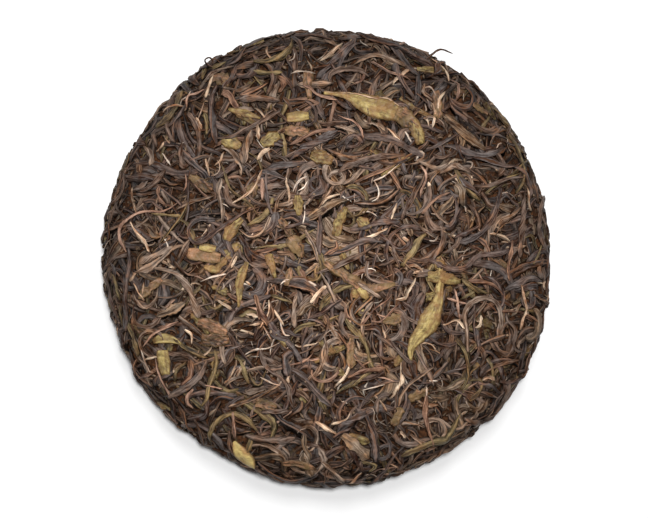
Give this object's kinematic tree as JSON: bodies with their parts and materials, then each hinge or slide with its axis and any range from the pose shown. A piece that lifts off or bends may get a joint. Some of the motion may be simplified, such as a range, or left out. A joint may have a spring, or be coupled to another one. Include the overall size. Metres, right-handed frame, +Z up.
{
  "type": "pu erh tea cake",
  "caption": "Round pressed cake of dark twisted tea leaves with a domed face, a rounded rim and a hollow in the middle of its flat back.",
  "frame": {"origin": "middle of the footprint, on the surface that the cake lies on", "axes": "+Z up through the crown of the domed face, -Y towards the viewer's side of the face, +X to its right"},
  "size_m": [0.1944, 0.1958, 0.0253],
  "materials": {
    "dark_leaf": "dry pressed dark brown leaf, matt with a faint satin on flattened strands",
    "brown_leaf": "dry red brown leaf and stalk, matt",
    "olive_leaf": "dry flat olive yellow leaf, matt, veined",
    "golden_bud": "downy pale gold bud, matt"
  },
  "bodies": {
    "root": {"tea_cake": "dark_leaf"}
  },
  "joints": []
}
